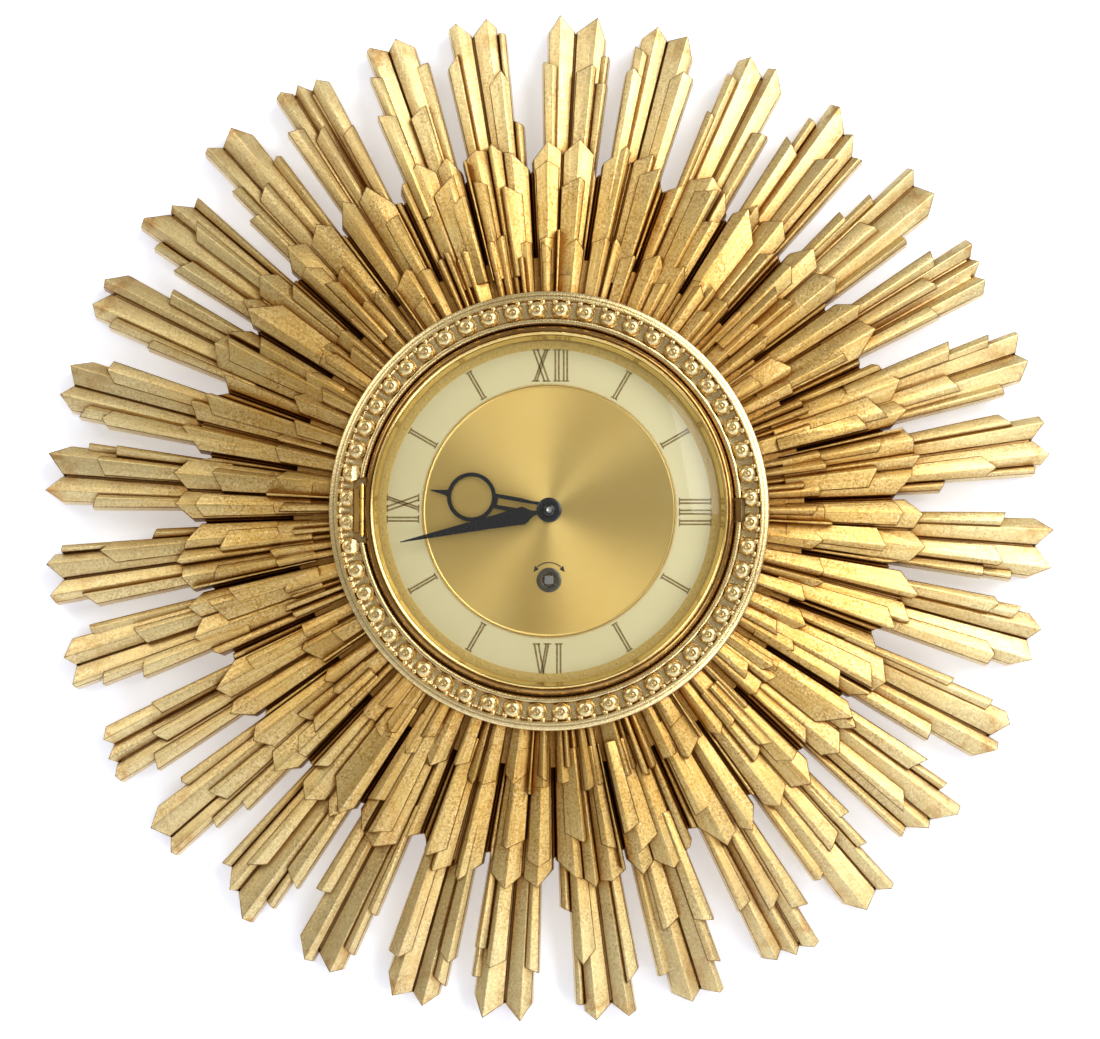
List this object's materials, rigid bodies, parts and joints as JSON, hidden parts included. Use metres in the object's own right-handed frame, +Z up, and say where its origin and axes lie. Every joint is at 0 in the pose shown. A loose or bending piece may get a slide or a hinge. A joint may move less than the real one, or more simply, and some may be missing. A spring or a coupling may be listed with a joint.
{
  "type": "sunburst wall clock",
  "caption": "Round key-wound wall clock in a gilded sunburst of crystal-like rays, with a beaded ring, hinged domed glass and black hands over a brushed dial.",
  "frame": {"origin": "centre of the rear face of the round back cover, in the plane of the wall", "axes": "+Z up, -Y out of the wall towards the viewer, +X to the viewer's right"},
  "size_m": [0.5596, 0.058, 0.5594],
  "materials": {
    "gilt_moulding": "gilded composition, semi-gloss with brown patina",
    "case_brass": "lacquered sheet",
    "bezel_bronze": "bronzed with a bright inner lip",
    "polished_brass": "polished",
    "movement_brass": "satin",
    "steel": "satin",
    "blued_steel": "blued",
    "dial_cream": "cream-silver, satin",
    "dial_brushed": "circular brushed",
    "hand_black": "gloss lacquer",
    "clear_glass": "clear, domed"
  },
  "bodies": {
    "body": {"sunburst_body": "gilt_moulding", "movement_case": "case_brass", "back_cover": "case_brass", "cover_screw_1": "steel", "cover_screw_2": "steel", "cover_screw_3": "steel", "case_screw_1": "polished_brass", "case_screw_2": "polished_brass", "case_screw_3": "polished_brass", "hanger_plate": "steel", "hanger_screw_1": "steel", "hanger_screw_2": "steel", "dial_plate": "dial_cream", "dial_centre": "dial_brushed", "winding_grommet": "bezel_bronze", "hinge_leaf_fixed": "polished_brass", "hinge_screw_1": "polished_brass", "hinge_screw_2": "polished_brass", "hinge_pin": "steel", "front_plate": "movement_brass", "back_plate": "movement_brass", "pillar_1": "movement_brass", "pillar_2": "movement_brass", "pillar_3": "movement_brass", "pillar_4": "movement_brass", "dial_post_1": "movement_brass", "dial_post_2": "movement_brass", "dial_post_3": "movement_brass", "click_spring": "blued_steel", "hairspring": "blued_steel"},
    "bezel": {"bezel_ring": "bezel_bronze", "glass": "clear_glass", "sight_ring": "polished_brass", "bezel_tab": "polished_brass", "hinge_leaf_moving": "polished_brass"},
    "minute_hand": {"minute_hand": "hand_black", "hand_nut": "steel", "cannon_pinion": "steel"},
    "hour_hand": {"hour_hand": "hand_black", "hour_wheel": "movement_brass"},
    "minute_wheel": {"minute_wheel": "movement_brass"},
    "escape_wheel": {"escape_wheel": "movement_brass"},
    "fourth_wheel": {"fourth_wheel": "movement_brass"},
    "third_wheel": {"third_wheel": "movement_brass"},
    "centre_wheel": {"centre_wheel": "movement_brass"},
    "intermediate_wheel": {"intermediate_wheel": "movement_brass"},
    "barrel": {"barrel_drum": "movement_brass", "barrel_cap": "movement_brass", "mainspring": "blued_steel"},
    "winding_arbor": {"winding_arbor": "steel", "ratchet_wheel": "steel"},
    "click": {"click": "steel"},
    "pallet_fork": {"pallet_fork": "steel"},
    "balance": {"balance_wheel": "movement_brass"},
    "regulator": {"regulator": "steel"}
  },
  "joints": [
    {"name": "bezel_hinge", "type": "hinge", "parent": "body", "child": "bezel", "pos_m": [-0.102, -0.044, 0], "axis": [0, 0, -1], "range_deg": [0, 110]},
    {"name": "minute_hand_turn", "type": "hinge", "parent": "body", "child": "minute_hand", "pos_m": [0, -0.0444, 0], "axis": [0, 1, 0], "continuous": true},
    {"name": "hour_hand_turn", "type": "hinge", "parent": "body", "child": "hour_hand", "pos_m": [0, -0.0418, 0], "axis": [0, 1, 0], "continuous": true},
    {"name": "minute_wheel_turn", "type": "hinge", "parent": "body", "child": "minute_wheel", "pos_m": [0.01182, -0.0343, -0.00208], "axis": [0, 1, 0], "continuous": true},
    {"name": "escape_wheel_turn", "type": "hinge", "parent": "body", "child": "escape_wheel", "pos_m": [0.00307, -0.0199, 0.0207], "axis": [0, 1, 0], "continuous": true},
    {"name": "fourth_wheel_turn", "type": "hinge", "parent": "body", "child": "fourth_wheel", "pos_m": [-0.00828, -0.0135, 0.0187], "axis": [0, 1, 0], "continuous": true},
    {"name": "third_wheel_turn", "type": "hinge", "parent": "body", "child": "third_wheel", "pos_m": [-0.01247, -0.0175, 0.0072], "axis": [0, 1, 0], "continuous": true},
    {"name": "centre_wheel_turn", "type": "hinge", "parent": "body", "child": "centre_wheel", "pos_m": [0, -0.0225, 0], "axis": [0, 1, 0], "continuous": true},
    {"name": "intermediate_wheel_turn", "type": "hinge", "parent": "body", "child": "intermediate_wheel", "pos_m": [0.00562, -0.0276, -0.01343], "axis": [0, 1, 0], "continuous": true},
    {"name": "barrel_turn", "type": "hinge", "parent": "body", "child": "barrel", "pos_m": [0, -0.0185, -0.038], "axis": [0, 1, 0], "continuous": true},
    {"name": "winding", "type": "hinge", "parent": "body", "child": "winding_arbor", "pos_m": [0, -0.0077, -0.038], "axis": [0, 1, 0], "range_deg": [0, 1920]},
    {"name": "click_lift", "type": "hinge", "parent": "body", "child": "click", "pos_m": [-0.015, -0.0077, -0.029], "axis": [0, -1, 0], "range_deg": [0, 8], "stiffness_Nm_per_rad": 0.0005},
    {"name": "pallet_rock", "type": "hinge", "parent": "body", "child": "pallet_fork", "pos_m": [0.0113, -0.0199, 0.0229], "axis": [0, 1, 0], "range_deg": [-5, 5]},
    {"name": "balance_swing", "type": "hinge", "parent": "body", "child": "balance", "pos_m": [0.0231, -0.0247, 0.0208], "axis": [0, 1, 0], "range_deg": [-250, 250], "stiffness_Nm_per_rad": 0.00004},
    {"name": "regulator_swing", "type": "hinge", "parent": "body", "child": "regulator", "pos_m": [0.0231, -0.0077, 0.0208], "axis": [0, 1, 0], "range_deg": [-25, 25]}
  ],
  "couplings": [
    {"joint": "hour_hand_turn", "follows": "minute_hand_turn", "ratio": 0.083333},
    {"joint": "minute_wheel_turn", "follows": "minute_hand_turn", "ratio": -0.33333},
    {"joint": "fourth_wheel_turn", "follows": "escape_wheel_turn", "ratio": -0.125},
    {"joint": "third_wheel_turn", "follows": "escape_wheel_turn", "ratio": 0.016667},
    {"joint": "centre_wheel_turn", "follows": "escape_wheel_turn", "ratio": -0.0020833},
    {"joint": "intermediate_wheel_turn", "follows": "escape_wheel_turn", "ratio": 0.00034722},
    {"joint": "barrel_turn", "follows": "escape_wheel_turn", "ratio": -0.00005787}
  ]
}
